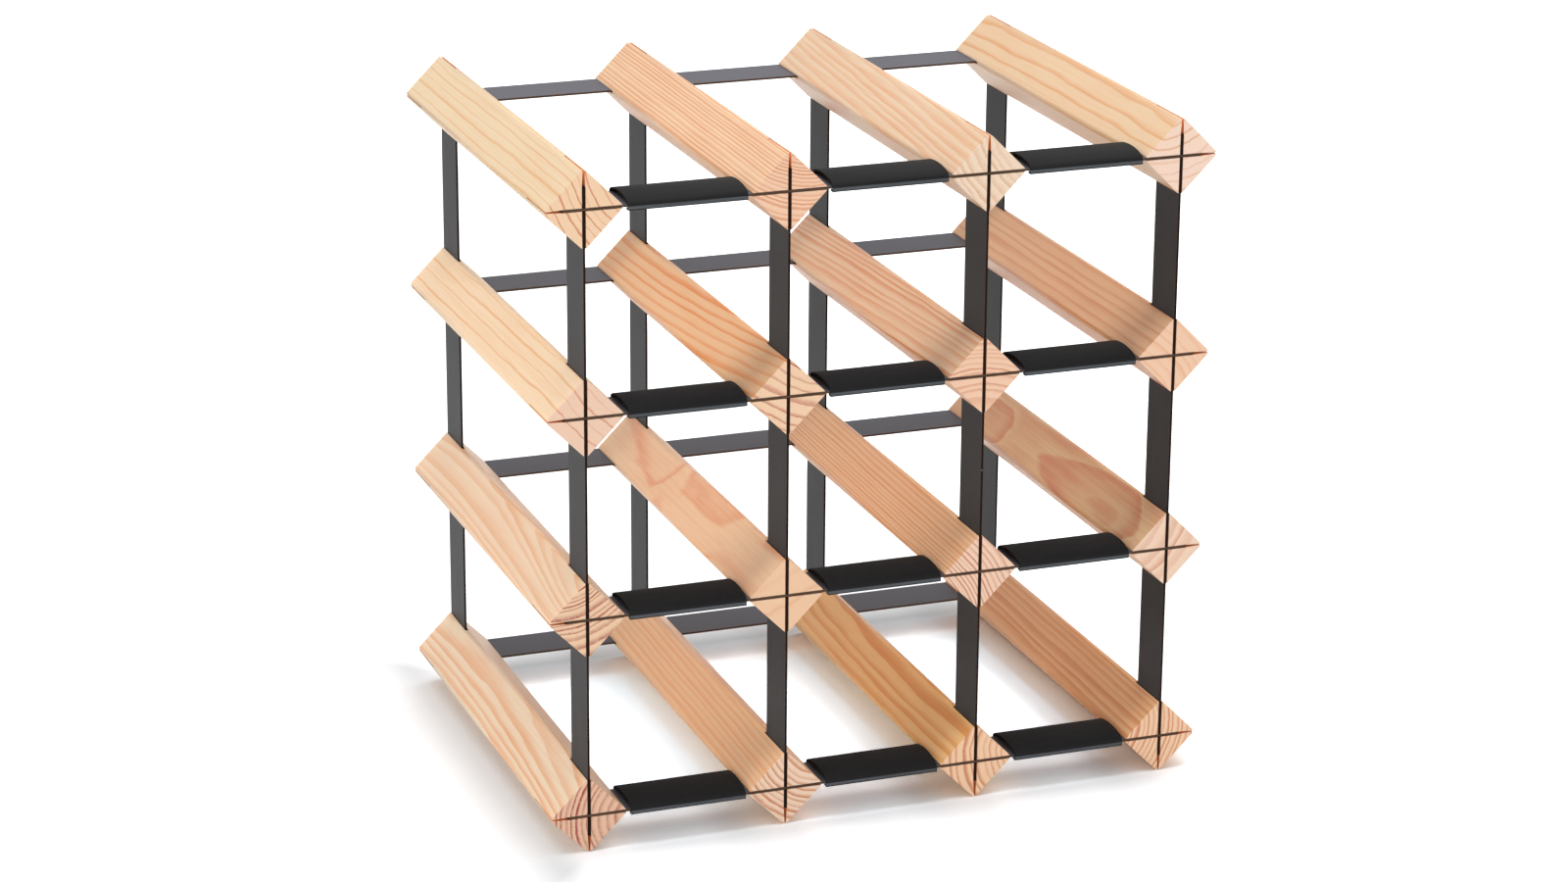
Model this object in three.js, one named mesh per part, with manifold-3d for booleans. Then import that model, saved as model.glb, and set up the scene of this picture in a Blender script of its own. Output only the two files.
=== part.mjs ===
// Wine rack for twelve bottles. Sixteen square pine bars lie on edge, front to back, four across and
// four up. Flat steel strips join them at both ends: each bar end has a level and an upright saw cut,
// the rails slide into the level cuts, the uprights into the upright ones, and the two kinds of strip
// halve into each other inside the bar. Plastic covers clip over the front rails below the bottle necks.
// Millimetres, +Z up, front towards -Y, origin on the floor under the middle of the rack.
import * as THREE from 'three';
import { mergeVertices } from 'three/addons/utils/BufferGeometryUtils.js';
import Module from 'manifold-3d';

// Grid
const GRID = 4; // bars across, and bars up
const PITCH = 96; // between bar centres, both ways
const CLEARANCE = 0.3; // between pieces that slide together

// Pine bars
const BAR_SIDE = 26.5;
const BAR_LENGTH = 228;
const ARRIS_RADIUS = 2.2;
const ARRIS_FACETS = 5; // odd, so the lowest arris rests on a narrow flat
const SAW_CUT_DEPTH = 27.5; // a little more than a strip is wide
const SAW_OVERRUN = 1; // how far the blade passes the end of the bar

// Steel strips
const STRIP_WIDTH = 25;
const STRIP_THICKNESS = 1;
const STRIP_OVERHANG = 10; // beyond the centre of the last bar

// Neck covers
const COVER_LENGTH = 56;
const COVER_WALL = 0.95;
const COVER_RISE = 3.6; // crown of the arch above the rail's top face
const COVER_RETURN = 3; // how far each lip reaches in under the rail
const RETURN_THICKNESS = 1.2;
const LIP_RADIUS = 0.5;
const CURVE_FACETS = 8;

const CUT_WIDTH = STRIP_THICKNESS + 2 * CLEARANCE;
const STRIP_LENGTH = (GRID - 1) * PITCH + 2 * STRIP_OVERHANG;
const COVER_HALF_WIDTH = STRIP_WIDTH / 2 + CLEARANCE + COVER_WALL;
const LIP_PROUD = CLEARANCE + COVER_WALL; // cover in front of the bar ends

const QUARTER_TURN = Math.PI / 2;
const ARRIS_CENTRE = BAR_SIDE / Math.SQRT2 - ARRIS_RADIUS * Math.SQRT2;
const BAR_HALF_HEIGHT = ARRIS_CENTRE + ARRIS_RADIUS * Math.cos(QUARTER_TURN / 2 / ARRIS_FACETS);

const pine = new THREE.MeshStandardMaterial({ color: '#dcb489', roughness: 0.62, metalness: 0 });
const blackSteel = new THREE.MeshStandardMaterial({ color: '#1b1a1b', roughness: 0.42, metalness: 0.3 });
const blackPlastic = new THREE.MeshStandardMaterial({ color: '#0f0f10', roughness: 0.5, metalness: 0 });

const wasm = await Module();
wasm.setup();

// Turns a closed three.js geometry into a manifold-3d solid.
function toSolid(geometry) {
  const bare = geometry.clone();
  bare.deleteAttribute('normal');
  bare.deleteAttribute('uv');
  const merged = mergeVertices(bare, 1e-4);
  return new wasm.Manifold(new wasm.Mesh({
    numProp: 3,
    vertProperties: new Float32Array(merged.attributes.position.array),
    triVerts: new Uint32Array(merged.index.array),
  }));
}

// Turns a manifold-3d solid back into a three.js geometry.
function toGeometry(solid) {
  const mesh = solid.getMesh();
  const geometry = new THREE.BufferGeometry();
  geometry.setAttribute('position', new THREE.BufferAttribute(mesh.vertProperties, 3));
  geometry.setIndex(new THREE.BufferAttribute(mesh.triVerts, 1));
  geometry.computeVertexNormals();
  return geometry;
}

// Distance of row or column n, counted from 1, from the middle of the grid.
function gridPlace(n) {
  return (n - (GRID + 1) / 2) * PITCH;
}

function oneTo(count) {
  return Array.from({ length: count }, (_, index) => index + 1);
}

// Extrudes a section drawn in X and Z along Y, centred on its length.
function extrudeAlongY(shape, length) {
  const settings = { depth: length, bevelEnabled: false, curveSegments: CURVE_FACETS };
  const geometry = new THREE.ExtrudeGeometry(shape, settings);
  geometry.translate(0, 0, -length / 2);
  geometry.rotateX(QUARTER_TURN);
  return geometry;
}

// The bar's section, standing on one arris, with every arris rounded.
function barSection() {
  const points = [];
  for (let arris = 0; arris < 4; arris += 1) {
    const heading = arris * QUARTER_TURN;
    const centre = new THREE.Vector2(ARRIS_CENTRE, 0).rotateAround(new THREE.Vector2(), heading);
    for (let step = 0; step <= ARRIS_FACETS; step += 1) {
      const angle = heading + QUARTER_TURN * (step / ARRIS_FACETS - 0.5);
      const outwards = new THREE.Vector2(Math.cos(angle), Math.sin(angle));
      points.push(outwards.multiplyScalar(ARRIS_RADIUS).add(centre));
    }
  }
  return new THREE.Shape(points);
}

// A pine bar with a level and an upright saw cut in each end, cut right through to the arrises.
function barGeometry() {
  const throughCut = BAR_SIDE * 2;
  const bladeLength = SAW_CUT_DEPTH + SAW_OVERRUN;
  const bladeMiddle = BAR_LENGTH / 2 + SAW_OVERRUN - bladeLength / 2;
  let bar = toSolid(extrudeAlongY(barSection(), BAR_LENGTH));
  for (const end of [-1, 1]) {
    for (const [width, height] of [[throughCut, CUT_WIDTH], [CUT_WIDTH, throughCut]]) {
      const blade = new THREE.BoxGeometry(width, bladeLength, height);
      blade.translate(0, end * bladeMiddle, 0);
      bar = bar.subtract(toSolid(blade));
    }
  }
  return toGeometry(bar);
}

// A steel strip along X, with a slot to half its width at each bar, open towards +Y.
function stripGeometry() {
  const halfLength = STRIP_LENGTH / 2;
  const halfWidth = STRIP_WIDTH / 2;
  const slotFloor = -CLEARANCE / 2;
  const outline = new THREE.Shape();
  outline.moveTo(halfLength, halfWidth);
  for (const bar of oneTo(GRID).reverse()) {
    const slot = gridPlace(bar);
    outline.lineTo(slot + CUT_WIDTH / 2, halfWidth);
    outline.lineTo(slot + CUT_WIDTH / 2, slotFloor);
    outline.lineTo(slot - CUT_WIDTH / 2, slotFloor);
    outline.lineTo(slot - CUT_WIDTH / 2, halfWidth);
  }
  outline.lineTo(-halfLength, halfWidth);
  outline.lineTo(-halfLength, -halfWidth);
  outline.lineTo(halfLength, -halfWidth);
  const geometry = new THREE.ExtrudeGeometry(outline, { depth: STRIP_THICKNESS, bevelEnabled: false });
  geometry.translate(0, 0, -STRIP_THICKNESS / 2);
  return geometry;
}

// Section of a neck cover: an arch over the rail, with a lip down each side that turns in under it.
function coverSection() {
  const innerHalfWidth = COVER_HALF_WIDTH - COVER_WALL;
  const springing = STRIP_THICKNESS / 2;
  const innerFloor = -(STRIP_THICKNESS / 2 + CLEARANCE);
  const base = innerFloor - RETURN_THICKNESS;
  const returnEnd = COVER_HALF_WIDTH - COVER_RETURN;
  const section = new THREE.Shape();
  section.moveTo(-returnEnd, innerFloor);
  section.lineTo(-returnEnd, base);
  section.lineTo(-COVER_HALF_WIDTH + LIP_RADIUS, base);
  section.quadraticCurveTo(-COVER_HALF_WIDTH, base, -COVER_HALF_WIDTH, base + LIP_RADIUS);
  section.absellipse(0, springing, COVER_HALF_WIDTH, COVER_RISE, Math.PI, 0, true);
  section.lineTo(COVER_HALF_WIDTH, base + LIP_RADIUS);
  section.quadraticCurveTo(COVER_HALF_WIDTH, base, COVER_HALF_WIDTH - LIP_RADIUS, base);
  section.lineTo(returnEnd, base);
  section.lineTo(returnEnd, innerFloor);
  section.lineTo(innerHalfWidth, innerFloor);
  section.absellipse(0, springing, innerHalfWidth, COVER_RISE - COVER_WALL, 0, Math.PI, false);
  section.lineTo(-innerHalfWidth, innerFloor);
  return section;
}

// A neck cover along X, with its section across the rail.
function coverGeometry() {
  return extrudeAlongY(coverSection(), COVER_LENGTH).rotateZ(QUARTER_TURN);
}

function part(name, geometry, material) {
  const mesh = new THREE.Mesh(geometry, material);
  mesh.name = name;
  return mesh;
}

// Rows count from the bottom and columns from the left, seen from the front.
function barGrid() {
  const bars = new THREE.Group();
  const geometry = barGeometry();
  for (const row of oneTo(GRID)) {
    for (const column of oneTo(GRID)) {
      const bar = part(`bar_row${row}_col${column}`, geometry, pine);
      bar.position.set(gridPlace(column), 0, gridPlace(row));
      bars.add(bar);
    }
  }
  return bars;
}

// One end frame in its front position, with the strips' outer edges flush with the bar ends. The rails
// open their slots inwards and the uprights outwards. leftFirst is false for the frame turned to the back.
function endFrame(side, leftFirst) {
  const frame = new THREE.Group();
  const geometry = stripGeometry();
  const middle = STRIP_WIDTH / 2 - BAR_LENGTH / 2;
  for (const n of oneTo(GRID)) {
    const rail = part(`${side}_rail_${n}`, geometry, blackSteel);
    rail.position.set(0, middle, gridPlace(n));
    frame.add(rail);

    const upright = part(`${side}_upright_${leftFirst ? n : GRID + 1 - n}`, geometry, blackSteel);
    upright.rotation.set(0, -QUARTER_TURN, Math.PI, 'ZYX');
    upright.position.set(gridPlace(n), middle, 0);
    frame.add(upright);
  }
  return frame;
}

// The neck covers, midway between neighbouring bars on every front rail.
function neckCovers() {
  const covers = new THREE.Group();
  const geometry = coverGeometry();
  for (const row of oneTo(GRID)) {
    for (const cell of oneTo(GRID - 1)) {
      const cover = part(`neck_cover_row${row}_cell${cell}`, geometry, blackPlastic);
      const middle = (gridPlace(cell) + gridPlace(cell + 1)) / 2;
      cover.position.set(middle, STRIP_WIDTH / 2 - BAR_LENGTH / 2, gridPlace(row));
      covers.add(cover);
    }
  }
  return covers;
}

const rack = new THREE.Group();
const backFrame = endFrame('back', false);
backFrame.rotation.z = Math.PI;
rack.add(barGrid(), endFrame('front', true), backFrame, neckCovers());

// The lowest arrises touch the floor, and the covers' lips count in the depth that is centred.
rack.position.set(0, LIP_PROUD / 2, BAR_HALF_HEIGHT - gridPlace(1));

export default rack;
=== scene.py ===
"""Finish of the twelve-bottle wine rack: sixteen planed pine bars, satin black steel strips and black
plastic neck covers, on a white studio floor. Metres, +Z up, front towards -Y."""
import math
from collections import namedtuple

import bmesh
import bpy
from mathutils import Matrix, Vector


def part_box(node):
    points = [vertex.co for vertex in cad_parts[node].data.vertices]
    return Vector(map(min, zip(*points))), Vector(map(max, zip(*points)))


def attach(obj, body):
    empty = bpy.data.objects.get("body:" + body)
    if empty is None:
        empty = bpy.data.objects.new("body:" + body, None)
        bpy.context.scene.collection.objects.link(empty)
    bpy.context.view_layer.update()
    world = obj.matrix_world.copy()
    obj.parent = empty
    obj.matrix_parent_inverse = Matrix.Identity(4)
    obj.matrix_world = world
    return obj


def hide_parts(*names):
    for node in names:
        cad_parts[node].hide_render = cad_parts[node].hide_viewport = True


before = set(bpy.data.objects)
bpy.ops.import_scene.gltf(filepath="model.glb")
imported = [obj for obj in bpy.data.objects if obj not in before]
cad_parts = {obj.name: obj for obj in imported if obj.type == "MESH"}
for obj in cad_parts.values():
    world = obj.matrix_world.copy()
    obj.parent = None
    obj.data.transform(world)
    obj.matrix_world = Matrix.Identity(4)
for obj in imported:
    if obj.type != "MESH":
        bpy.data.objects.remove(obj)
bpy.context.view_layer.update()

MM = 0.001
TOUCHING = 0.01 * MM  # places closer than this count as one
QUARTER_TURN = math.pi / 2
SQUARE_TURN = 1.2  # in radians; an edge whose faces turn by more than this is a square one
EDGE_FACETS = 2  # across every eased edge
GRID = 4  # bars across, and bars up

# Pine bars, standing on one arris
BAR_SIDE = 26.5 * MM
ARRIS_RADIUS = 2.27 * MM
ARRIS_FACETS = 8
END_EDGE = 0.3 * MM
UPRIGHT_CUT = 1.5 * MM
LEVEL_CUT = 1.25 * MM
SAW_CUT_DEPTH = 27.5 * MM
STRIP_END = 10.3 * MM  # from the bar's middle to just past the end of a strip
AT_ARRIS = 1.4 * STRIP_END  # corners further than this from the bar's middle are at an arris
TOP_CUT_SHARE = 0.6  # how much of a saw cut's width is left where no strip holds it open
BOTTOM_CUT_SHARE = 0.4
SIDE_CUT_SHARE = 0.45

# Steel strips
STRIP_EDGE = 0.12 * MM
STRIP_CORNER = 0.6 * MM
STRIP_CORNER_FACETS = 3
STRIP_SLOT = 1.3 * MM

# Neck covers
COVER_WALL = 0.95 * MM
COVER_BEND = 0.5 * MM
COVER_BEND_FACETS = 4
COVER_END_EDGE = 0.15 * MM
COVER_RETURN = 3 * MM
COVER_FACETS = 40
COVER_CREASE = math.radians(40)

# Camera
CAMERA_PLACE = (-0.6671, -1.7745, 0.7850)
CAMERA_AZIMUTH = -20.38
CAMERA_ELEVATION = 18.59
CAMERA_ROLL = 0.41
CAMERA_LENS = 94.7

# Light: how strong the surroundings are, and each lamp's place, width and watts
AMBIENT = 0.59
LAMPS = {
    "key": ((-0.95, -0.25, 2.5), 0.8, 17),
    "overhead": ((0.1, -0.1, 2.7), 1.6, 23),
    "back": ((0.9, 0.8, 2.4), 1.3, 12),
    "left": ((-2.3, -0.2, 1.1), 1.2, 7),
    "fill": ((-0.8, -2.3, 0.35), 1.2, 17),
}
LAMP_AIM = Vector((0, 0, 0.16))

# Floor
FLOOR_HALF_SIDE = 6
FLOOR_DROP = 0.1 * MM
RACK_HALF_WIDTH = 144  # in mm, to the middle of the outer bars
RACK_HALF_DEPTH = 115  # in mm


# ---------------------------------------------------------------- shader writing

# The colour sockets of a Mix node go by number, because their names repeat
MIX_FIRST = 6
MIX_SECOND = 7
MIX_RESULT = 2


def srgb(red, green, blue):
    """A colour, 0 to 255 for each part, as the linear RGBA that a socket takes."""
    linear = [((part / 255 + 0.055) / 1.055) ** 2.4 for part in (red, green, blue)]
    return (*linear, 1)


class Field:
    """A value that varies over a surface. Arithmetic on it adds the Math nodes it stands for."""

    def __init__(self, recipe, socket):
        self.recipe = recipe
        self.socket = socket

    def math(self, operation, *terms):
        return self.recipe.node("ShaderNodeMath", {"operation": operation}, dict(enumerate(terms)))

    def __add__(self, other):
        return self.math("ADD", self, other)

    def __sub__(self, other):
        return self.math("SUBTRACT", self, other)

    def __rsub__(self, other):
        return self.math("SUBTRACT", other, self)

    def __mul__(self, other):
        return self.math("MULTIPLY", self, other)

    def __truediv__(self, other):
        return self.math("DIVIDE", self, other)

    def __pow__(self, other):
        return self.math("POWER", self, other)

    def __abs__(self):
        return self.math("ABSOLUTE", self)

    __radd__ = __add__
    __rmul__ = __mul__

    def floor(self):
        return self.math("FLOOR", self)

    def least(self, other):
        return self.math("MINIMUM", self, other)

    def most(self, other):
        return self.math("MAXIMUM", self, other)

    def rise(self, start, end):
        """0 below start, 1 above end, smooth between. With start above end it falls instead."""
        settings = {"interpolation_type": "SMOOTHSTEP"}
        sockets = {"Value": self, "From Min": start, "From Max": end}
        return self.recipe.node("ShaderNodeMapRange", settings, sockets)


class Recipe:
    """A node tree that is being written."""

    def __init__(self, tree):
        self.tree = tree

    def node(self, kind, settings=None, sockets=None, output=0):
        """Adds a node: its settings first, then the values or links of its sockets."""
        node = self.tree.nodes.new(kind)
        for name, value in (settings or {}).items():
            setattr(node, name, value)
        for name, value in (sockets or {}).items():
            self.feed(node.inputs[name], value)
        return Field(self, node.outputs[output])

    def feed(self, socket, value):
        if isinstance(value, Field):
            self.tree.links.new(value.socket, socket)
        else:
            socket.default_value = value

    def blend(self, amount, first, second):
        """Colour mix."""
        sockets = {"Factor": amount, MIX_FIRST: first, MIX_SECOND: second}
        return self.node("ShaderNodeMix", {"data_type": "RGBA"}, sockets, output=MIX_RESULT)

    def tint(self, colour, amount):
        """Colour scaled by a grey amount."""
        base = colour if isinstance(colour, Field) else colour[:3]
        return self.node("ShaderNodeVectorMath", {"operation": "SCALE"}, {0: base, "Scale": amount})

    def millimetres(self, middle):
        """Object coordinates in millimetres from a point."""
        place = self.node("ShaderNodeTexCoord", output="Object")
        sockets = {"Vector": place, "Location": -middle / MM, "Scale": (1 / MM,) * 3}
        return self.node("ShaderNodeMapping", None, sockets)

    def stretch(self, vector, size, seed=0.0):
        """Coordinates in which one unit is size millimetres along each axis, moved by the seed."""
        location = (seed, seed * 0.7, -seed)
        scale = tuple(1 / length for length in size)
        return self.node("ShaderNodeMapping", None, {"Vector": vector, "Location": location, "Scale": scale})

    def parts(self, vector):
        split = self.node("ShaderNodeSeparateXYZ", None, {0: vector})
        return [Field(self, socket) for socket in split.socket.node.outputs]

    def noise(self, vector, size, seed=0.0, detail=2.0, roughness=0.5):
        """Smooth noise from -1 to 1 whose blotches are about size millimetres along each axis."""
        sockets = {
            "Vector": self.stretch(vector, size, seed),
            "Scale": 1.0,
            "Detail": detail,
            "Roughness": roughness,
        }
        return self.node("ShaderNodeTexNoise", None, sockets) * 2 - 1

    def bump(self, height, depth):
        """A normal from a height of 0 to 1, depth metres deep."""
        return self.node("ShaderNodeBump", None, {"Height": height, "Distance": depth})


def surface(name):
    """A new material, its recipe and the sockets of its Principled shader."""
    material = bpy.data.materials.new(name)
    material.use_nodes = True
    recipe = Recipe(material.node_tree)
    return material, recipe, material.node_tree.nodes["Principled BSDF"].inputs


def from_middle(recipe, node):
    """Object coordinates in millimetres from the middle of a CAD node."""
    low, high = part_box(node)
    return recipe.millimetres((low + high) / 2)


def size_in_mm(node):
    """Size of a CAD node in millimetres."""
    low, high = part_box(node)
    return (high - low) / MM


def seed_for(node, names, step):
    """What moves a node's patterns, so that no two pieces look the same."""
    return step * sorted(names).index(node)


# ---------------------------------------------------------------- pine

# How each bar was sawn out of the tree. Places are in mm from the bar's middle, to the right and up, seen
# from the front. pith is the heart of the tree at the front end; middle and back are how far it has moved
# by mid-length and by the back end. ring is the spacing of the growth rings near the bar's middle and first
# the distance of one of them beyond it, both in mm. taper is half the share by which they widen with each
# mm further out. late is the latewood's share of a ring, contrast how dark it is, and wander how far the
# rings stray, in mm. pale and line are the colours of the planed faces, end and end_line those of the sawn
# ends, and torn is how ragged the saw left them. The pale and line colours also carry painted light: the
# middle bars of the two lowest rows are paler, to lift the shade that falls on them.
Board = namedtuple(
    "Board",
    "pith middle back ring first taper late contrast wander pale line end end_line torn",
)
BOARDS = {
    "bar_row4_col1": Board((60, 34), (0, 0), (0, 0), 3.9, 2.7, 0, 0.18, 0.75, 0.9,
                           (210, 185, 150), (200, 145, 90),
                           (230, 195, 160), (185, 100, 45), 0.35),
    "bar_row4_col2": Board((12, 48), (1, 1), (2, 2), 2.0, 0.5, 0.013, 0.45, 0.85, 0.8,
                           (220, 185, 150), (195, 125, 75),
                           (230, 190, 160), (200, 125, 80), 0.30),
    "bar_row4_col3": Board((52, 38), (5, 5), (10, 10), 3.8, 0.5, 0, 0.50, 0.50, 0.9,
                           (210, 185, 155), (200, 125, 70),
                           (230, 205, 180), (210, 170, 135), 0.90),
    "bar_row4_col4": Board((-9, 33), (-1.4, 1.4), (0, 0), 5.2, 4.1, 0, 0.22, 0.70, 0.8,
                           (210, 180, 145), (200, 135, 75),
                           (235, 205, 185), (215, 160, 120), 0.30),
    "bar_row3_col1": Board((51, 46), (-0.7, -0.7), (-1.4, -1.4), 6.0, 5.9, 0, 0.14, 0.75, 0.6,
                           (230, 200, 165), (215, 145, 75),
                           (225, 190, 165), (195, 120, 80), 0.20),
    "bar_row3_col2": Board((33, 64), (-8.5, -8.5), (-11, -11), 5.0, 4.2, 0, 0.30, 0.95, 1.2,
                           (225, 180, 135), (215, 125, 50),
                           (230, 195, 160), (160, 50, 30), 0.40),
    "bar_row3_col3": Board((-3, -44), (0, -2.5), (0, -5), 2.9, 3.1, -0.02, 0.45, 0.75, 0.8,
                           (225, 190, 155), (205, 115, 55),
                           (230, 190, 160), (200, 135, 105), 0.45),
    "bar_row3_col4": Board((-48, -42), (0, 0), (0, 0), 4.5, 1.0, 0, 0.35, 0.60, 0.8,
                           (215, 170, 130), (185, 100, 55),
                           (230, 190, 160), (220, 165, 125), 0.10),
    "bar_row2_col1": Board((-12, 35), (-5.2, 5.2), (-4.8, 4.8), 2.8, 0.6, 0.012, 0.45, 0.80, 0.9,
                           (225, 195, 165), (215, 160, 115),
                           (225, 190, 155), (145, 30, 30), 0.95),
    "bar_row2_col2": Board((-60, 120), (0, 0), (0, 0), 12, 1.9, 0, 0.30, 0.50, 0.9,
                           (245, 205, 165), (225, 115, 50),
                           (225, 185, 150), (215, 165, 130), 0.25),
    "bar_row2_col3": Board((-56, -36), (1, 1), (2, 2), 2.4, 3.0, 0.018, 0.40, 0.80, 0.7,
                           (240, 195, 150), (220, 140, 85),
                           (230, 195, 170), (180, 110, 75), 0.35),
    "bar_row2_col4": Board((-31, 25), (0, 0), (0, 0), 5.6, 7.5, 0, 0.70, 0.50, 0.4,
                           (220, 185, 140), (190, 75, 30),
                           (230, 200, 175), (205, 150, 120), 0.25),
    "bar_row1_col1": Board((24, -3), (2.8, -2.8), (2.2, -2.2), 2.9, 0.8, -0.014, 0.45, 0.80, 0.8,
                           (225, 200, 170), (215, 150, 100),
                           (220, 180, 150), (145, 35, 30), 0.95),
    "bar_row1_col2": Board((17, 23), (1.6, 1.6), (3.3, 3.3), 2.9, 3.0, 0, 0.45, 0.75, 0.8,
                           (250, 205, 160), (245, 170, 110),
                           (230, 200, 175), (190, 120, 75), 0.40),
    "bar_row1_col3": Board((27, 3), (0, 0), (3, -3), 3.4, 2.2, 0, 0.40, 0.85, 1.0,
                           (245, 195, 130), (220, 135, 40),
                           (235, 195, 160), (190, 115, 70), 0.50),
    "bar_row1_col4": Board((-35, 8), (1.7, 0), (3.4, 0), 2.6, 8.2, 0, 0.45, 0.70, 0.8,
                           (235, 185, 135), (205, 120, 60),
                           (230, 195, 160), (195, 105, 60), 0.25),
}

# Where the rings shift along a bar, in mm from its front end: from, to, and how far towards the heart
SHIFTS = {
    "bar_row2_col2": ((50, 74, -3.6), (122, 139, 3.4), (136, 156, -7.6), (152, 222, 6.4)),
    "bar_row2_col4": ((2, 35, -5.5), (35, 160, 5.8), (158, 178, -4.0)),
}

CUT_WALL = srgb(206, 122, 70)
# Painted shade for the walls of a saw cut where a strip sits deep in it
CUT_WALL_PAINTED_SHADE = srgb(44, 30, 24)
# Painted shade along the edges of a saw cut on a bar's end
CUT_EDGE_SHADE = srgb(78, 44, 24)
PINE_SEED_STEP = 3.7

# Sizes in mm of the wood's patterns, across the bar, along it and up
STRAY = (26, 240, 26)
WAVER = (9, 45, 9)
FIBRE = (0.45, 22, 0.45)
STREAK = (1.5, 60, 1.5)
CLOUD = (8, 50, 8)
THREAD = (0.5, 110, 0.5)
FLECK = (0.7, 7, 0.7)
PORE = (0.6, 0.6, 0.6)
RAG = (1.6, 1.6, 1.6)
PIT = (0.5, 0.5, 0.8)


def along_bar(fraction, middle, back):
    """How far the heart has moved at this fraction of the length: middle at half of it, back at the end."""
    return fraction * (4 * middle - back) + fraction * fraction * (2 * back - 4 * middle)


def growth_rings(recipe, grain, node, seed):
    """Latewood from 0 to 1."""
    board = BOARDS[node]
    length = size_in_mm(node).y
    x, y, z = recipe.parts(grain)
    from_front = y + length / 2
    fraction = from_front / length
    across = x - board.pith[0] - along_bar(fraction, board.middle[0], board.back[0])
    up = z - board.pith[1] - along_bar(fraction, board.middle[1], board.back[1])
    radius = (across * across + up * up) ** 0.5
    for start, end, height in SHIFTS.get(node, ()):
        radius = radius + from_front.rise(start, end) * height
    stray = recipe.noise(grain, STRAY, seed, detail=1.0) * board.wander
    waver = recipe.noise(grain, WAVER, seed + 5, detail=2.0) * (0.28 * board.ring)
    out = radius + stray + waver - math.hypot(*board.pith) - board.first
    out = out * (1 - out * board.taper)
    good_years = recipe.node("ShaderNodeTexNoise", {"noise_dimensions": "1D"},
                             {"W": out / board.ring * 0.4 + seed, "Scale": 1.0, "Detail": 1.0})
    turn = out / board.ring + good_years * 1.2
    ring = turn.floor()
    age = turn - ring
    edge = 0.8 if node in SHIFTS else 0.96
    summer = age.rise(1 - board.late * 1.7, 1 - board.late * 0.3) * age.rise(1.0, edge)
    chance = recipe.node("ShaderNodeTexWhiteNoise", {"noise_dimensions": "1D"}, {"W": ring + seed})
    return summer * (0.55 + chance * 0.45)


def beyond_strips(node, places):
    """1 on the sides where the strips stop short of a bar's arrises; there the cut shows its wood, elsewhere
    painted shade.
    """
    reach = [places[0] * x + places[2] * z for (x, _, z), _, _ in loose_tips(node)]
    strip_end = STRIP_END / MM
    fade = 0.4
    amount = 0.0
    for distance in reach:
        amount = distance.rise(strip_end - fade, strip_end + fade).most(amount)
    return amount


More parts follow.
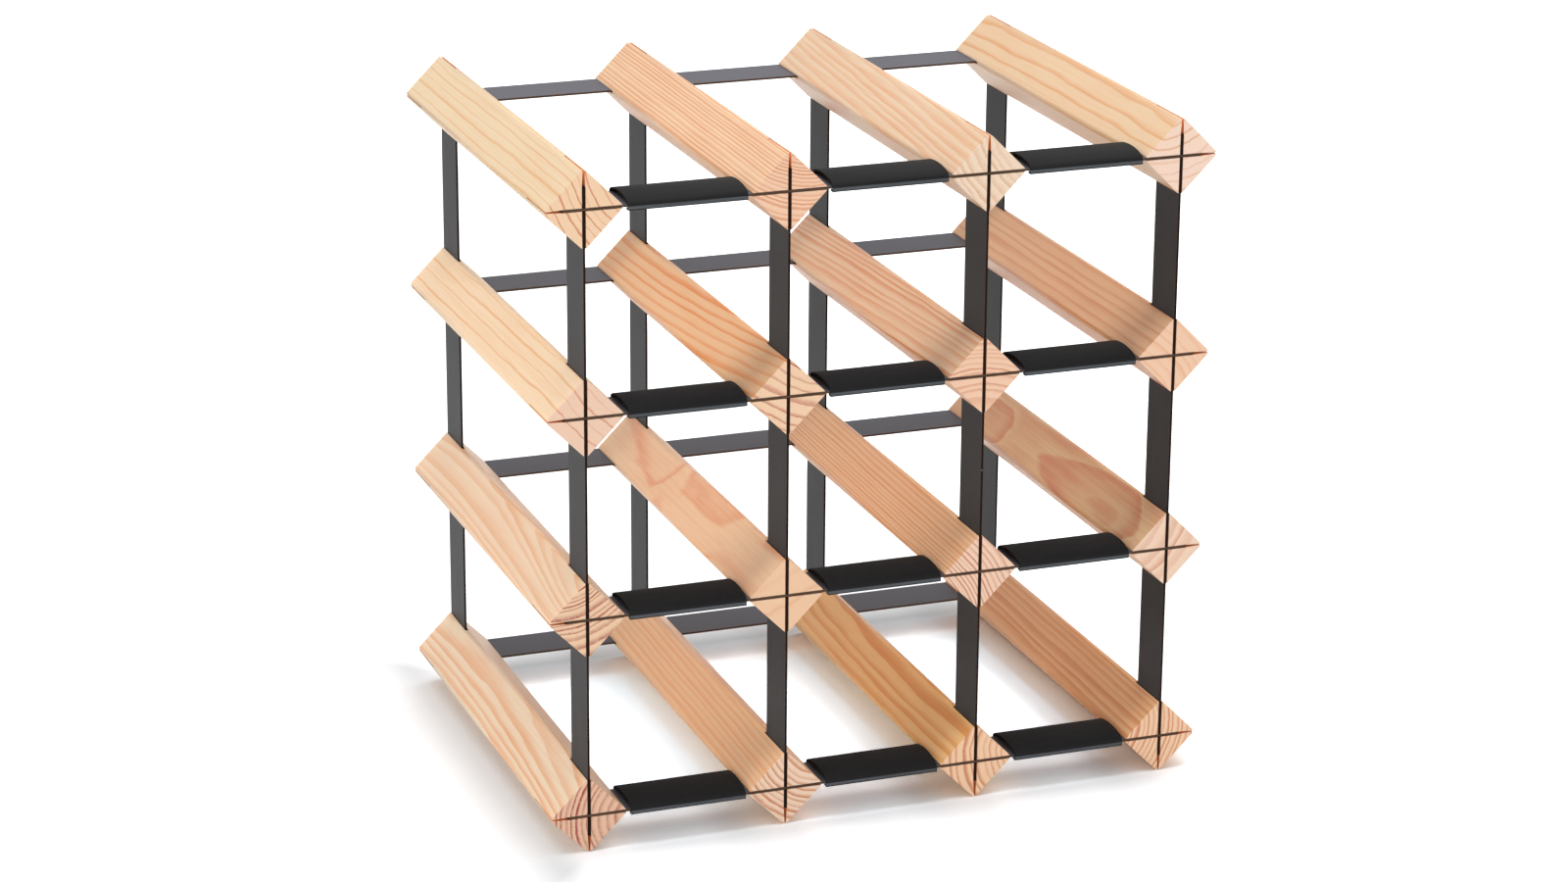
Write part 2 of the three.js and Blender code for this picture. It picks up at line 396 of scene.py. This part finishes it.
def pine(node):
    """Planed pine for one bar, with the same growth rings on its sides and its ends."""
    board = BOARDS[node]
    seed = seed_for(node, BOARDS, PINE_SEED_STEP)
    half_length = size_in_mm(node).y / 2
    cut_floor = half_length - SAW_CUT_DEPTH / MM
    half_upright_cut = UPRIGHT_CUT / 2 / MM
    half_level_cut = LEVEL_CUT / 2 / MM
    material, recipe, sockets = surface("pine_" + node)
    grain = from_middle(recipe, node)
    places = recipe.parts(grain)
    x, y, z = (abs(place) for place in places)

    # Where on the bar: its sawn ends, its arrises, and the walls of the saw cuts
    end = y.rise(half_length - 0.12, half_length - 0.04)
    arris = x.least(z).rise(1.7, 0.7)
    in_upright_cut = x.rise(half_upright_cut + 0.05, half_upright_cut + 0.01)
    in_level_cut = z.rise(half_level_cut + 0.05, half_level_cut + 0.01)
    short_of_arris = x.most(z).rise(17.6, 17.5)
    in_cut_depth = y.rise(cut_floor - 0.2, cut_floor + 0.1)
    inside_cut = in_upright_cut.most(in_level_cut) * short_of_arris * in_cut_depth * (1 - end)
    # The walls of the cuts are painted dark with shade wherever a strip sits in them
    walls = recipe.blend(beyond_strips(node, places), CUT_WALL_PAINTED_SHADE, CUT_WALL)

    # Planed faces
    summer = growth_rings(recipe, grain, node, seed)
    fibre = recipe.noise(grain, FIBRE, seed, detail=2.0)
    streak = recipe.noise(grain, STREAK, seed + 11, detail=2.0)
    cloud = recipe.noise(grain, CLOUD, seed + 23, detail=2.0)
    threads = recipe.noise(grain, THREAD, seed + 19, detail=1.0)
    flecks = recipe.noise(grain, FLECK, seed + 31, detail=0.0).rise(0.42, 0.62)
    figure = summer * board.contrast + streak * 0.18 + cloud * 0.18 + threads * 0.22 + flecks * 0.08
    line = (figure + 0.06).most(0)
    side = recipe.blend(line, srgb(*board.pale), srgb(*board.line))
    side = recipe.tint(side, 1 + fibre * 0.05)

    # Sawn ends
    pores = recipe.noise(grain, PORE, seed + 41, detail=2.0, roughness=0.7)
    rag = recipe.noise(grain, RAG, seed + 47, detail=3.0, roughness=0.7)
    end_line = summer ** 1.6 * (0.95 + rag * board.torn) + pores * (0.1 + board.torn * 0.2) + 0.04
    end_grain = recipe.blend(end_line.most(0), srgb(*board.end), srgb(*board.end_line))
    end_grain = recipe.tint(end_grain, 1 + pores * (0.03 + board.torn * 0.05))
    pits = recipe.noise(grain, PIT, seed + 53, detail=1.0).rise(0.34, 0.56)
    end_grain = recipe.tint(end_grain, 1 - pits * (0.06 + board.torn * 0.35))
    # Painted shade with a ragged edge, widening the dark line of each cut on the end where a strip sits in
    # it
    beside = (x - half_upright_cut).least(z - half_level_cut)
    cut_edge_shade = beside.rise(0.26 + rag * 0.3, 0.04) * (1 - beyond_strips(node, places)) * 0.8
    end_grain = recipe.blend(cut_edge_shade, end_grain, CUT_EDGE_SHADE)

    # The whole bar
    # Paler along the rounded arrises: a painted highlight
    arris_highlighted = recipe.tint(side, 1 + arris * (0.03 + fibre * 0.10))
    colour = recipe.blend(end, arris_highlighted, end_grain)
    colour = recipe.blend(inside_cut, colour, walls)
    recipe.feed(sockets["Base Color"], colour)
    recipe.feed(sockets["Roughness"], 0.46 + fibre * 0.05 + end * 0.25 - summer * 0.06)
    sockets["Specular IOR Level"].default_value = 0.5
    height = fibre * (0.5 - end * 0.5) + summer * 0.5 + pores * end
    recipe.feed(sockets["Normal"], recipe.bump(height, 0.04 * MM))
    return material


# ---------------------------------------------------------------- black steel and black plastic

STEEL = srgb(26, 22, 20)
STEEL_SHEEN_AND_DUST = srgb(94, 93, 102)
# The sheared edges with painted light: darker in shade on the uprights, lighter where the rails' edges catch
# the light
SHEARED_SHADED = srgb(34, 19, 12)
SHEARED_RAIL_LIT = srgb(82, 62, 48)
CHIPPED = srgb(150, 140, 130)
PLASTIC = srgb(28, 28, 29)
# Painted highlight along the foot of a lip
PLASTIC_LIP_HIGHLIGHT = srgb(84, 87, 90)
PLASTIC_DUST = srgb(60, 60, 60)
STEEL_SEED_STEP = 2.3
PLASTIC_SEED_STEP = 1.9

# Sizes in mm of the patterns on steel and plastic, along X, Y and Z
PEEL = (0.8, 0.8, 0.8)
SMEAR = (30, 9, 30)
EDGE_SMEAR = (9, 9, 9)
CHIP = (1.6, 1.6, 1.6)
MOULD_GRAIN = (0.35, 0.35, 0.35)
DRAWN = (24, 0.9, 0.9)
DUST_SPOT = (5, 3, 3)


def painted_steel(node):
    """Satin black paint on the faces of a steel strip, smeared at random, and much lighter on the level ones
    with a painted sheen, for the light that falls on them from above.
    """
    seed = seed_for(node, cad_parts, STEEL_SEED_STEP)
    material, recipe, sockets = surface("painted_steel_" + node)
    place = from_middle(recipe, node)
    peel = recipe.noise(place, PEEL, seed, detail=1.0)
    smear = recipe.noise(place, SMEAR, seed + 7, detail=3.0)
    # The level rails get a painted sheen, much lighter than on the uprights; the smear adds random patches
    # to it
    dust = (0.7 if "_rail_" in node else 0.03) + smear * 0.12
    recipe.feed(sockets["Base Color"], recipe.blend(dust, STEEL, STEEL_SHEEN_AND_DUST))
    recipe.feed(sockets["Roughness"], 0.48 + smear * 0.06)
    sockets["Specular IOR Level"].default_value = 0.16
    recipe.feed(sockets["Normal"], recipe.bump(peel, 0.006 * MM))
    return material


def sheared_steel(node):
    """Dull black on the sheared edges of a steel strip, with a few chips, painted as a darker shaded copy on
    the uprights, which sit deep in the saw cuts, and a lighter lit copy on the rails.
    """
    seed = seed_for(node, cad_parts, STEEL_SEED_STEP)
    material, recipe, sockets = surface("sheared_steel_" + node)
    place = from_middle(recipe, node)
    smear = recipe.noise(place, EDGE_SMEAR, seed + 5, detail=3.0)
    chip = recipe.noise(place, CHIP, seed + 13, detail=2.0).rise(0.56, 0.62)
    edge_light_and_shade = SHEARED_RAIL_LIT if "_rail_" in node else SHEARED_SHADED
    colour = recipe.blend(chip, recipe.tint(edge_light_and_shade, 1 + smear * 0.5), CHIPPED)
    recipe.feed(sockets["Base Color"], colour)
    recipe.feed(sockets["Roughness"], 0.7 + smear * 0.1)
    sockets["Specular IOR Level"].default_value = 0.05
    return material


def black_plastic(node):
    """Matt moulded plastic, with a painted highlight along the foot of each lip, where its face would mirror
    the white floor.
    """
    seed = seed_for(node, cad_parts, PLASTIC_SEED_STEP)
    material, recipe, sockets = surface("black_plastic_" + node)
    place = from_middle(recipe, node)
    _, _, z = recipe.parts(place)
    foot = -size_in_mm(node).z / 2
    grain = recipe.noise(place, MOULD_GRAIN, seed, detail=1.0)
    drawn = recipe.noise(place, DRAWN, seed + 3, detail=2.0)
    dust = recipe.noise(place, DUST_SPOT, seed + 9, detail=4.0, roughness=0.7).rise(0.05, 0.7)
    # A painted highlight on the foot of each lip, where its face would mirror the white floor
    lip = z.rise(foot + 2.2, foot + 1.7) * z.rise(foot + 0.4, foot + 0.8) * (0.8 + drawn * 0.4)
    colour = recipe.blend(dust * 0.08, PLASTIC, PLASTIC_DUST)
    recipe.feed(sockets["Base Color"], recipe.blend(lip, colour, PLASTIC_LIP_HIGHLIGHT))
    recipe.feed(sockets["Roughness"], 0.72 + drawn * 0.05)
    sockets["Specular IOR Level"].default_value = 0.1
    recipe.feed(sockets["Normal"], recipe.bump(grain * 0.6 + drawn * 0.4, 0.012 * MM))
    return material


# ---------------------------------------------------------------- pieces

def add_object(name, data):
    """A new object in the scene."""
    thing = bpy.data.objects.new(name, data)
    bpy.context.scene.collection.objects.link(thing)
    return thing


def finish_piece(mesh, node, slot, *materials):
    """Turns a bmesh into the piece that stands for a CAD node."""
    bmesh.ops.recalc_face_normals(mesh, faces=mesh.faces)
    data = bpy.data.meshes.new(node + "_finished")
    mesh.to_mesh(data)
    mesh.free()
    piece = add_object(node + "_finished", data)
    for material in materials:
        data.materials.append(material)
    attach(piece, "root")
    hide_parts(node)
    return piece


def corners_of(parts):
    """The corners in a list that mixes corners, edges and faces."""
    return [part for part in parts if isinstance(part, bmesh.types.BMVert)]


def extrude_by(mesh, faces, step):
    """Extrudes faces together and moves the new ones by step."""
    grown = bmesh.ops.extrude_face_region(mesh, geom=faces)["geom"]
    bmesh.ops.translate(mesh, vec=step, verts=corners_of(grown))


def cut_across(mesh, normal, places):
    """Cuts every face by planes square to normal, at these distances along it."""
    for place in places:
        geometry = mesh.verts[:] + mesh.edges[:] + mesh.faces[:]
        bmesh.ops.bisect_plane(mesh, geom=geometry, plane_co=normal * place, plane_no=normal)


def pine_bar(node):
    """A square bar on edge, its ends quartered by a level and an upright saw cut."""
    low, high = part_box(node)
    middle = (low + high) / 2
    solid_half = (high.y - low.y) / 2 - SAW_CUT_DEPTH
    bar = bmesh.new()
    bmesh.ops.create_circle(bar, cap_ends=True, segments=4, radius=BAR_SIDE / math.sqrt(2))
    bmesh.ops.rotate(bar, verts=bar.verts, matrix=Matrix.Rotation(QUARTER_TURN, 3, "X"))
    bmesh.ops.bevel(bar, geom=bar.verts[:], offset=ARRIS_RADIUS, offset_type="OFFSET", affect="VERTICES",
                    segments=ARRIS_FACETS, profile=0.5, material=-1)
    cut_across(bar, Vector((1, 0, 0)), (-STRIP_END, -UPRIGHT_CUT / 2, UPRIGHT_CUT / 2, STRIP_END))
    cut_across(bar, Vector((0, 0, 1)), (-STRIP_END, -LEVEL_CUT / 2, LEVEL_CUT / 2, STRIP_END))
    for outwards, half_cut, share in loose_tips(node):
        pinch(bar, Vector(outwards), half_cut, share)
    bmesh.ops.translate(bar, vec=(0, -solid_half, 0), verts=bar.verts)
    extrude_by(bar, bar.faces[:], (0, 2 * solid_half, 0))
    for end in (-1, 1):
        prongs = [face for face in bar.faces if is_prong(face.calc_center_median(), end * solid_half)]
        extrude_by(bar, prongs, (0, end * SAW_CUT_DEPTH, 0))
    tip = solid_half + SAW_CUT_DEPTH
    rim = [edge for edge in bar.edges if all(abs(abs(v.co.y) - tip) < TOUCHING for v in edge.verts)]
    bmesh.ops.bevel(bar, geom=rim, offset=END_EDGE, offset_type="OFFSET", affect="EDGES",
                    segments=EDGE_FACETS, profile=0.5, material=-1, clamp_overlap=True)
    for face in bar.faces:
        lengthways = abs(face.normal.y) < 0.1
        planed = abs(abs(face.normal.x) - abs(face.normal.z)) <= 0.05
        face.smooth = lengthways and not planed
    bmesh.ops.translate(bar, vec=middle, verts=bar.verts)
    finish_piece(bar, node, "pine", pine(node))


def loose_tips(node):
    """The sides where a strip stops short of this bar's arris: outwards, half the cut, the share left."""
    tips = {
        "bar_row4": ((0, 0, 1), UPRIGHT_CUT / 2, TOP_CUT_SHARE),
        "bar_row1": ((0, 0, -1), UPRIGHT_CUT / 2, BOTTOM_CUT_SHARE),
        "_col1": ((-1, 0, 0), LEVEL_CUT / 2, SIDE_CUT_SHARE),
        "_col4": ((1, 0, 0), LEVEL_CUT / 2, SIDE_CUT_SHARE),
    }
    return [tip for name, tip in tips.items() if name in node]


def pinch(mesh, outwards, half_cut, share):
    """Narrows a saw cut at its arris, where no strip holds it open."""
    across = Vector((outwards.z, 0, outwards.x))
    for corner in mesh.verts:
        off = corner.co.dot(across)
        if corner.co.dot(outwards) > AT_ARRIS and abs(off) < half_cut + TOUCHING:
            corner.co -= across * off * (1 - share)


def is_prong(centre, level):
    """True for the corner faces that the saw cuts leave at this distance along the bar."""
    clear_of_cuts = abs(centre.x) > UPRIGHT_CUT / 2 and abs(centre.z) > LEVEL_CUT / 2
    return clear_of_cuts and abs(centre.y - level) < TOUCHING


def steel_strip(node, slots_open_back):
    """A flat strip along X, slotted to half its width at each bar, then turned if it is an upright."""
    low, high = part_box(node)
    middle = (low + high) / 2
    size = high - low
    upright = size.z > size.x
    length = max(size.x, size.z)
    thickness = min(size.x, size.z)
    width = size.y
    strip = bmesh.new()
    bmesh.ops.create_grid(strip, x_segments=1, y_segments=1, size=0.5)
    bmesh.ops.scale(strip, vec=(length, width, 1), verts=strip.verts)
    bmesh.ops.bevel(strip, geom=strip.verts[:], offset=STRIP_CORNER, offset_type="OFFSET", affect="VERTICES",
                    segments=STRIP_CORNER_FACETS, profile=0.5, material=-1)
    pitch = bar_pitch()
    bars = [(bar - (GRID - 1) / 2) * pitch for bar in range(GRID)]
    sides = [bar + side * STRIP_SLOT / 2 for bar in bars for side in (-1, 1)]
    cut_across(strip, Vector((1, 0, 0)), sides)
    cut_across(strip, Vector((0, 1, 0)), (0,))
    slots = [face for face in strip.faces if in_slot(face.calc_center_median(), pitch, slots_open_back)]
    bmesh.ops.delete(strip, geom=slots, context="FACES")
    bmesh.ops.translate(strip, vec=(0, 0, -thickness / 2), verts=strip.verts)
    extrude_by(strip, strip.faces[:], (0, 0, thickness))
    square = [edge for edge in strip.edges if is_square(edge)]
    level = [edge for edge in square if abs(edge.verts[0].co.z - edge.verts[1].co.z) < TOUCHING]
    bmesh.ops.bevel(strip, geom=level, offset=STRIP_EDGE, offset_type="OFFSET", affect="EDGES",
                    segments=EDGE_FACETS, profile=0.5, material=-1, clamp_overlap=True)
    strip.normal_update()
    for face in strip.faces:
        face.material_index = 0 if abs(face.normal.z) > 0.9 else 1
    if upright:
        bmesh.ops.rotate(strip, verts=strip.verts, matrix=Matrix.Rotation(-QUARTER_TURN, 3, "Y"))
    bmesh.ops.translate(strip, vec=middle, verts=strip.verts)
    finish_piece(strip, node, "black_steel", painted_steel(node), sheared_steel(node))


def is_square(edge):
    """True where two faces meet at about a right angle."""
    return len(edge.link_faces) == 2 and edge.calc_face_angle() > SQUARE_TURN


def bar_pitch():
    """Distance between the middles of neighbouring bars, in metres."""
    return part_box("bar_row1_col2")[0].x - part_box("bar_row1_col1")[0].x


def in_slot(centre, pitch, open_back):
    """True where a face of the strip lies in one of its slots."""
    off_bar = (centre.x / pitch + (GRID - 1) / 2) % 1
    off_bar = min(off_bar, 1 - off_bar) * pitch
    open_half = centre.y > 0 if open_back else centre.y < 0
    return off_bar < STRIP_SLOT / 2 and open_half


def neck_cover(node):
    """An arched strip of plastic over the rail, with a lip down each side that turns in under it."""
    low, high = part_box(node)
    _, rail_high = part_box("front_rail_" + node[len("neck_cover_row")])
    middle = (low + high) / 2
    half_width = (high.y - low.y) / 2
    springing = rail_high.z
    rise = high.z - springing
    cover = bmesh.new()
    start = bmesh.ops.create_vert(cover, co=(low.x, -1, 0))["vert"]
    bmesh.ops.spin(cover, geom=start, cent=(low.x, 0, 0), axis=(1, 0, 0), angle=-math.pi, steps=COVER_FACETS)
    bmesh.ops.scale(cover, vec=(1, half_width, rise), verts=cover.verts)
    bmesh.ops.translate(cover, vec=(0, middle.y, springing), verts=cover.verts)
    cover.verts.ensure_lookup_table()
    for side in (-1, 1):
        arch_end = Vector((low.x, middle.y + side * half_width, springing))
        foot = min(cover.verts, key=lambda vert: (vert.co - arch_end).length)
        for step in ((0, 0, low.z - springing), (0, -side * COVER_RETURN, 0)):
            grown = bmesh.ops.extrude_vert_indiv(cover, verts=[foot])["verts"]
            bmesh.ops.translate(cover, vec=step, verts=grown)
            foot = grown[0]
    grown = bmesh.ops.extrude_edge_only(cover, edges=cover.edges[:])["geom"]
    bmesh.ops.translate(cover, vec=(high.x - low.x, 0, 0), verts=corners_of(grown))
    bends = [edge for edge in cover.edges if is_square(edge)]
    bmesh.ops.bevel(cover, geom=bends, offset=COVER_BEND, offset_type="OFFSET", affect="EDGES",
                    segments=COVER_BEND_FACETS, profile=0.5, material=-1)

    # The wall grows inwards from the arch, so the arch has to face up
    bmesh.ops.recalc_face_normals(cover, faces=cover.faces)
    if max(cover.faces, key=lambda face: face.calc_center_median().z).normal.z < 0:
        bmesh.ops.reverse_faces(cover, faces=cover.faces)
    bmesh.ops.solidify(cover, geom=cover.faces[:], thickness=COVER_WALL)
    ends = [edge for edge in cover.edges if is_square(edge) and is_end(edge, low.x, high.x)]
    bmesh.ops.bevel(cover, geom=ends, offset=COVER_END_EDGE, offset_type="OFFSET", affect="EDGES",
                    segments=EDGE_FACETS, profile=0.5, material=-1, clamp_overlap=True)
    for face in cover.faces:
        face.smooth = True
    piece = finish_piece(cover, node, "black_plastic", black_plastic(node))
    piece.data.set_sharp_from_angle(angle=COVER_CREASE)


def is_end(edge, first, last):
    """True for an edge that lies in one of a cover's two cut ends."""
    return any(all(abs(v.co.x - end) < TOUCHING for v in edge.verts) for end in (first, last))


# ---------------------------------------------------------------- studio

def shown(recipe):
    """1 for rays that show a backdrop: straight from the camera, mirrored, or through something clear."""
    path = recipe.node("ShaderNodeLightPath", output="Is Camera Ray")
    mirrored = Field(recipe, path.socket.node.outputs["Is Glossy Ray"])
    through = Field(recipe, path.socket.node.outputs["Is Transmission Ray"])
    return path.most(mirrored).most(through)


def floor():
    """A white floor with the rack's shadow on it. Away from the rack and below the cells it is seen brighter
    than the light on it would show it, so that it looks white, except close to the left of each bar."""
    sheet = bmesh.new()
    bmesh.ops.create_grid(sheet, x_segments=1, y_segments=1, size=FLOOR_HALF_SIDE)
    bmesh.ops.translate(sheet, vec=(0, 0, -FLOOR_DROP), verts=sheet.verts)
    data = bpy.data.meshes.new("floor")
    sheet.to_mesh(data)
    sheet.free()
    piece = add_object("floor", data)
    material, recipe, sockets = surface("floor_white")
    sockets["Roughness"].default_value = 1
    sockets["Specular IOR Level"].default_value = 0
    seen = shown(recipe)
    x, y, _ = recipe.parts(recipe.millimetres(Vector((0, 0, 0))))
    pitch = bar_pitch() / MM

    # Where on the floor, in mm. to_bar is how far off the next bar to the right is, clear is 1 midway
    # between two bars, away is 1 well outside the rack, within is 1 between its sides, below is 1 under it.
    bars = ((GRID - 1) / 2 * pitch - x) / pitch
    to_bar = (bars - bars.floor()) * pitch
    clear = to_bar.rise(18, 44) * to_bar.rise(96, 82)
    away = (abs(x) - RACK_HALF_WIDTH).most(abs(y) - RACK_HALF_DEPTH).rise(0, 55)
    within = abs(x).rise(152, 136)
    below = within * y.rise(116, 90)

    # How bright it is seen there, as a share of its own colour, with painted shade and painted light
    left_shade = x.rise(-140, -165) * 0.52
    bar_shade = (1 - clear) * within * 0.14
    back_shade = y.rise(106, 118) * within * 0.4
    bright = 1.14 - left_shade - bar_shade - back_shade
    open_floor = y.rise(-118, -106) * 0.85 + y.rise(-96, -50) * 1.7
    by_bar = y.rise(-118, -106) * 0.3 + y.rise(-98, -60) * 0.85
    bright = bright + below * (by_bar + clear * (open_floor - by_bar))
    # Bluish within the rack where it is seen: a painted tint that takes out the warm light the pine throws
    # on the floor
    cool = within * y.rise(-114, -66) * y.rise(112, 80) * seen
    white = recipe.blend(cool, srgb(246, 249, 252), srgb(211, 235, 253))
    recipe.feed(sockets["Base Color"], recipe.tint(white, 1 + seen * (bright - 1)))
    recipe.feed(sockets["Emission Strength"], seen)
    recipe.feed(sockets["Emission Color"], recipe.tint((1, 1, 1), away * 0.6))
    data.materials.append(material)


def studio():
    """White surroundings and five square lamps: three high up, on the left, overhead and behind on the
    right, and two lower down, on the left and in front."""
    world = bpy.data.worlds.new("studio")
    bpy.context.scene.world = world
    world.use_nodes = True
    recipe = Recipe(world.node_tree)
    background = world.node_tree.nodes["Background"].inputs
    background["Color"].default_value = (1, 1, 1, 1)
    recipe.feed(background["Strength"], AMBIENT + shown(recipe) * (1 - AMBIENT))

    for name, (place, size, watts) in LAMPS.items():
        lamp = bpy.data.lights.new(name, "AREA")
        lamp.energy = watts
        lamp.shape = "SQUARE"
        lamp.size = size
        box = add_object(name, lamp)
        box.location = place
        aim = LAMP_AIM - box.location
        box.rotation_euler = aim.to_track_quat("-Z", "Y").to_euler()


def camera():
    """A camera from its place, the angles of its line of sight, its roll and its lens."""
    azimuth = math.radians(CAMERA_AZIMUTH)
    elevation = math.radians(CAMERA_ELEVATION)
    level = Vector((math.sin(azimuth), -math.cos(azimuth), 0)) * math.cos(elevation)
    back = level + Vector((0, 0, math.sin(elevation)))
    right = Vector((math.cos(azimuth), math.sin(azimuth), 0))
    turn = Matrix((right, back.cross(right), back)).transposed()
    roll = Matrix.Rotation(math.radians(CAMERA_ROLL), 3, "Z")
    lens = bpy.data.cameras.new("camera")
    lens.lens = CAMERA_LENS
    eye = add_object("camera", lens)
    eye.matrix_world = Matrix.Translation(CAMERA_PLACE) @ (turn @ roll).to_4x4()
    bpy.context.scene.camera = eye


camera()
studio()
floor()
for node in sorted(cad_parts):
    if node.startswith("bar_"):
        pine_bar(node)
    elif node.startswith("neck_cover_"):
        neck_cover(node)
    else:
        # Rails open their slots inwards, and uprights outwards
        front = node.startswith("front_")
        rail = "_rail_" in node
        steel_strip(node, slots_open_back=front == rail)

bpy.context.scene.view_settings.view_transform = "Standard"
